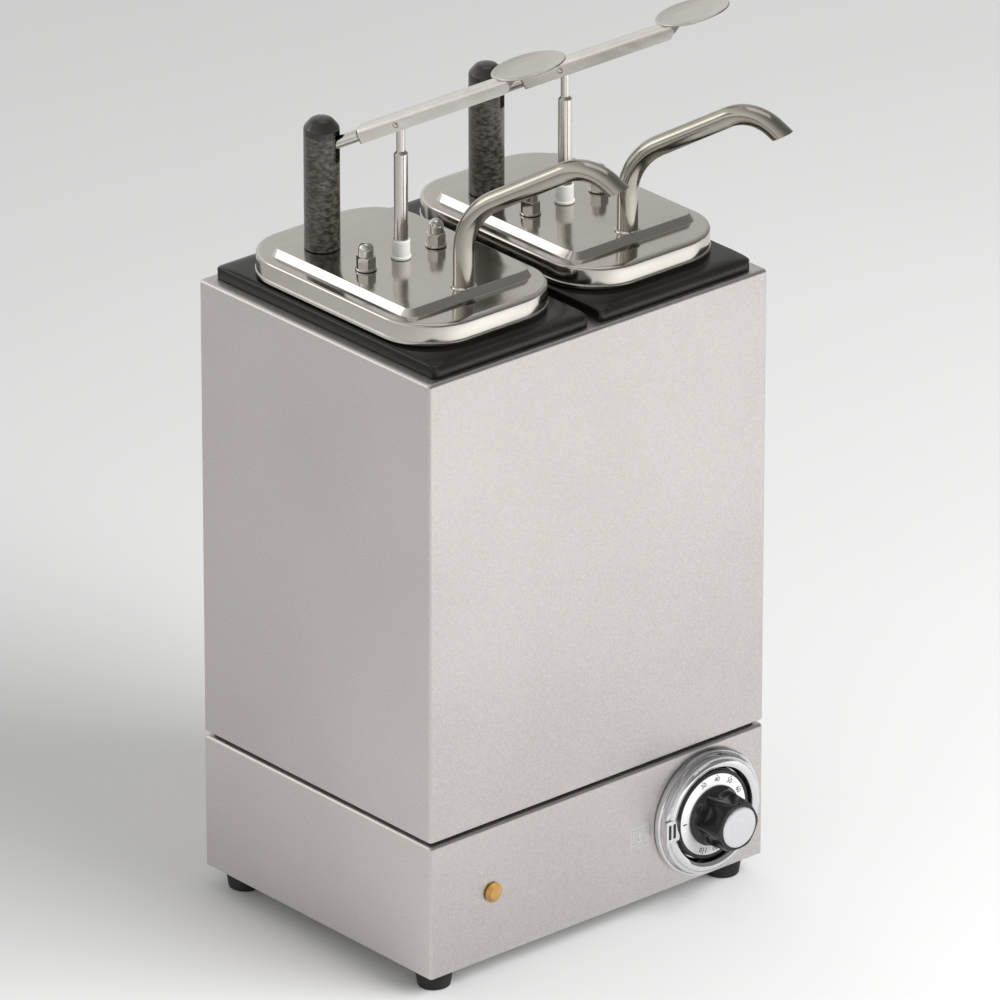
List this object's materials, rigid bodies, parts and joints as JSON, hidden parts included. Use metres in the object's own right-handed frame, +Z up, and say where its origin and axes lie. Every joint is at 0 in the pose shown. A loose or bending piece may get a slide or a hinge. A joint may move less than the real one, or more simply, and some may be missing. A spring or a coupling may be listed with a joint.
{
  "type": "heated condiment pump dispenser",
  "caption": "Countertop heated sauce dispenser: steel housing with thermostat, lift-out vessels in black frames, lids with lever pumps and bent spouts.",
  "frame": {"origin": "centre of the whole object's footprint box, on the surface it stands on; the housing's centre lies 19.5 mm behind it", "axes": "+Z up; the front with the thermostat faces -Y; +X is to the right seen from the front"},
  "size_m": [0.25, 0.2563, 0.5334],
  "materials": {
    "brushed_casing": "fine matt grain, satin",
    "inner_steel": "plain mill finish, satin",
    "polished_steel": "polished",
    "chrome_trim": "mirror polish",
    "black_frame": "semi-gloss black",
    "grip_cover": "grained dark cover, matt",
    "foot_rubber": "matt",
    "white_plastic": "smooth, satin",
    "dial_white": "smooth, printed ring",
    "knob_black": "semi-gloss black",
    "lamp_amber": "clear moulded, gloss",
    "seal": "matt",
    "ceramic": "matt",
    "spring_steel": "drawn wire"
  },
  "bodies": {
    "housing": {"base_casing": "brushed_casing", "upper_casing": "brushed_casing", "bottom_plate": "inner_steel", "foot_fl": "foot_rubber", "foot_fr": "foot_rubber", "foot_bl": "foot_rubber", "foot_br": "foot_rubber", "seam_frame": "black_frame", "heating_well": "inner_steel", "heating_element": "spring_steel", "thermostat_body": "ceramic", "thermostat_bezel": "chrome_trim", "indicator_lens": "lamp_amber", "indicator_holder": "knob_black", "terminal_block": "ceramic", "cable_gland": "knob_black"},
    "dial": {"scale_disc": "dial_white", "knob": "knob_black", "knob_cap": "brushed_casing", "knob_spindle": "inner_steel"},
    "container_left": {"collar_left": "black_frame", "vessel_left": "inner_steel"},
    "pump_left": {"lid_left": "polished_steel", "spout_left": "polished_steel", "pump_cylinder_left": "inner_steel", "intake_valve_left": "white_plastic", "guide_bush_left": "white_plastic", "cap_nut_left_a": "polished_steel", "cap_nut_left_b": "polished_steel", "grip_post_left": "grip_cover", "post_stud_left": "inner_steel", "pivot_pin_left": "inner_steel", "return_spring_left": "spring_steel"},
    "ball_left": {"valve_ball_left": "inner_steel"},
    "rod_left": {"piston_rod_left": "polished_steel", "piston_left": "seal"},
    "lever_left": {"lever_rod_left": "polished_steel", "lever_channel_left": "polished_steel", "thumb_plate_left": "polished_steel", "link_pin_left": "inner_steel"},
    "container_right": {"collar_right": "black_frame", "vessel_right": "inner_steel"},
    "pump_right": {"lid_right": "polished_steel", "spout_right": "polished_steel", "pump_cylinder_right": "inner_steel", "intake_valve_right": "white_plastic", "guide_bush_right": "white_plastic", "cap_nut_right_a": "polished_steel", "cap_nut_right_b": "polished_steel", "grip_post_right": "grip_cover", "post_stud_right": "inner_steel", "pivot_pin_right": "inner_steel", "return_spring_right": "spring_steel"},
    "ball_right": {"valve_ball_right": "inner_steel"},
    "rod_right": {"piston_rod_right": "polished_steel", "piston_right": "seal"},
    "lever_right": {"lever_rod_right": "polished_steel", "lever_channel_right": "polished_steel", "thumb_plate_right": "polished_steel", "link_pin_right": "inner_steel"}
  },
  "joints": [
    {"name": "thermostat_turn", "type": "hinge", "parent": "housing", "child": "dial", "pos_m": [0.0805, -0.0795, 0.054], "axis": [0, -1, 0], "range_deg": [0, 300]},
    {"name": "container_left_lift", "type": "slide", "parent": "housing", "child": "container_left", "axis": [0, 0, 1], "range_m": [0, 0.25]},
    {"name": "lid_left_lift", "type": "slide", "parent": "container_left", "child": "pump_left", "axis": [0, 0, 1], "range_m": [0, 0.26]},
    {"name": "lever_left_press", "type": "hinge", "parent": "pump_left", "child": "lever_left", "pos_m": [-0.08424, 0.05949, 0.4639], "axis": [0.848, 0.5299, 0], "range_deg": [0, 35]},
    {"name": "rod_left_stroke", "type": "slide", "parent": "pump_left", "child": "rod_left", "axis": [0, 0, -1], "range_m": [0, 0.0296], "stiffness_N_per_m": 400, "springref_m": -0.025, "deforming": ["return_spring_left"]},
    {"name": "ball_left_lift", "type": "slide", "parent": "pump_left", "child": "ball_left", "axis": [0, 0, 1], "range_m": [0, 0.0025]},
    {"name": "container_right_lift", "type": "slide", "parent": "housing", "child": "container_right", "axis": [0, 0, 1], "range_m": [0, 0.25]},
    {"name": "lid_right_lift", "type": "slide", "parent": "container_right", "child": "pump_right", "axis": [0, 0, 1], "range_m": [0, 0.26]},
    {"name": "lever_right_press", "type": "hinge", "parent": "pump_right", "child": "lever_right", "pos_m": [0.03676, 0.05949, 0.4639], "axis": [0.848, 0.5299, 0], "range_deg": [0, 35]},
    {"name": "rod_right_stroke", "type": "slide", "parent": "pump_right", "child": "rod_right", "axis": [0, 0, -1], "range_m": [0, 0.0296], "stiffness_N_per_m": 400, "springref_m": -0.025, "deforming": ["return_spring_right"]},
    {"name": "ball_right_lift", "type": "slide", "parent": "pump_right", "child": "ball_right", "axis": [0, 0, 1], "range_m": [0, 0.0025]}
  ],
  "couplings": [
    {"joint": "rod_left_stroke", "follows": "lever_left_press", "m_per_rad": 0.0484},
    {"joint": "rod_right_stroke", "follows": "lever_right_press", "m_per_rad": 0.0484}
  ]
}
